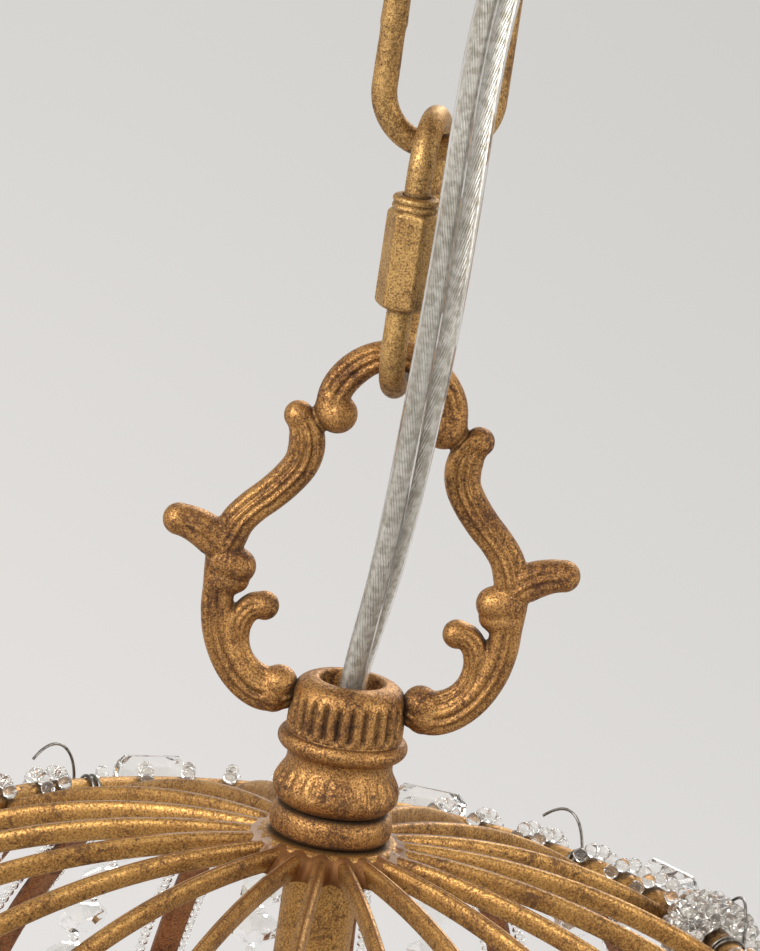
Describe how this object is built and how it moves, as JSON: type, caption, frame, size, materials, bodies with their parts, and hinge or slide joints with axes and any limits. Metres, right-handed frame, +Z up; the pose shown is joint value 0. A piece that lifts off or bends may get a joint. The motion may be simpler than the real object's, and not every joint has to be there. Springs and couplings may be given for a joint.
{
  "type": "mini chandelier",
  "caption": "Small antique-gold crystal chandelier on a ceiling cup, with chain, screw-lock quick link, cast loop, ribbed crown, crystal basket and candle lamps.",
  "frame": {"origin": "middle of the mounting strap's screw pattern, in the plane of the ceiling", "axes": "+Z up towards the ceiling, +X along the strap and across the cast loop, +Y away from the side that the quick link's sleeve faces"},
  "size_m": [0.27, 0.27, 0.473],
  "materials": {
    "antique_gold": "antique gold leaf over a red-brown primer, satin",
    "coppery_gold": "cast metal in darker, coppery antique gold, satin",
    "steel": "zinc-plated steel",
    "crystal": "clear cut glass",
    "bulb_glass": "clear blown glass",
    "clear_pvc": "clear PVC over tinned copper strands",
    "white_plastic": "moulded white plastic",
    "candle_ivory": "moulded ivory candle sleeve"
  },
  "bodies": {
    "ceiling": {"canopy_cup": "antique_gold", "mounting_strap": "steel", "canopy_nipple": "steel", "strap_nut": "steel", "terminal_block": "white_plastic", "cable_grommet": "white_plastic", "canopy_eye": "antique_gold", "cable_upper": "clear_pvc"},
    "chain_link": {"chain_link": "antique_gold"},
    "quick_link": {"quick_link_body": "antique_gold", "cable_middle": "clear_pvc"},
    "lock_sleeve": {"lock_sleeve": "antique_gold"},
    "fixture": {"cast_loop": "coppery_gold", "collar_ring": "coppery_gold", "cable_bush": "white_plastic", "cable_lower": "clear_pvc", "stem_nipple": "steel", "hub_disc": "antique_gold", "dome_ribs": "antique_gold", "crown_ring": "antique_gold", "bead_wraps": "crystal", "bead_knots": "crystal", "crown_prisms": "crystal", "tie_wires": "steel", "flared_bars": "antique_gold", "body_band": "antique_gold", "band_octagons": "crystal", "upper_strands": "crystal", "lower_strands": "crystal", "stem_tube": "antique_gold", "inner_cable": "clear_pvc", "lamp_hub": "antique_gold", "lamp_hub_lid": "antique_gold", "wire_connectors": "white_plastic", "lamp_arms": "antique_gold", "drip_pans": "antique_gold", "candle_sleeves": "candle_ivory", "lampholders": "white_plastic", "finial_rod": "steel", "finial_cup": "antique_gold", "finial_nut": "antique_gold"},
    "bulb_1": {"bulb_cap_1": "steel", "bulb_glass_1": "bulb_glass"},
    "bulb_2": {"bulb_cap_2": "steel", "bulb_glass_2": "bulb_glass"},
    "bulb_3": {"bulb_cap_3": "steel", "bulb_glass_3": "bulb_glass"},
    "ball_drop": {"ball_hook": "antique_gold", "crystal_ball": "crystal"}
  },
  "joints": [
    {"name": "chain_link_swing", "type": "hinge", "parent": "ceiling", "child": "chain_link", "pos_m": [0, 0, -0.0492], "axis": [0, 1, 0], "range_deg": [-20, 20], "deforming": ["cable_upper"]},
    {"name": "quick_link_swing", "type": "hinge", "parent": "chain_link", "child": "quick_link", "pos_m": [0, 0, -0.08675], "axis": [1, 0, 0], "range_deg": [-20, 20], "deforming": ["cable_middle"]},
    {"name": "loop_swing", "type": "hinge", "parent": "quick_link", "child": "fixture", "pos_m": [0, 0, -0.1282], "axis": [0.1392, 0.9903, 0], "range_deg": [-20, 20], "deforming": ["cable_lower"]},
    {"name": "lock_sleeve_slide", "type": "slide", "parent": "quick_link", "child": "lock_sleeve", "axis": [0, 0, -1], "range_m": [0, 0.0064]},
    {"name": "bulb_1_turn", "type": "hinge", "parent": "fixture", "child": "bulb_1", "pos_m": [0, 0.045, -0.325], "axis": [0, 0, 1], "range_deg": [0, 1080]},
    {"name": "bulb_2_turn", "type": "hinge", "parent": "fixture", "child": "bulb_2", "pos_m": [-0.03897, -0.0225, -0.325], "axis": [0, 0, 1], "range_deg": [0, 1080]},
    {"name": "bulb_3_turn", "type": "hinge", "parent": "fixture", "child": "bulb_3", "pos_m": [0.03897, -0.0225, -0.325], "axis": [0, 0, 1], "range_deg": [0, 1080]},
    {"name": "ball_drop_swing", "type": "hinge", "parent": "fixture", "child": "ball_drop", "pos_m": [0, 0, -0.4374], "axis": [0, 1, 0], "range_deg": [-35, 35]}
  ]
}
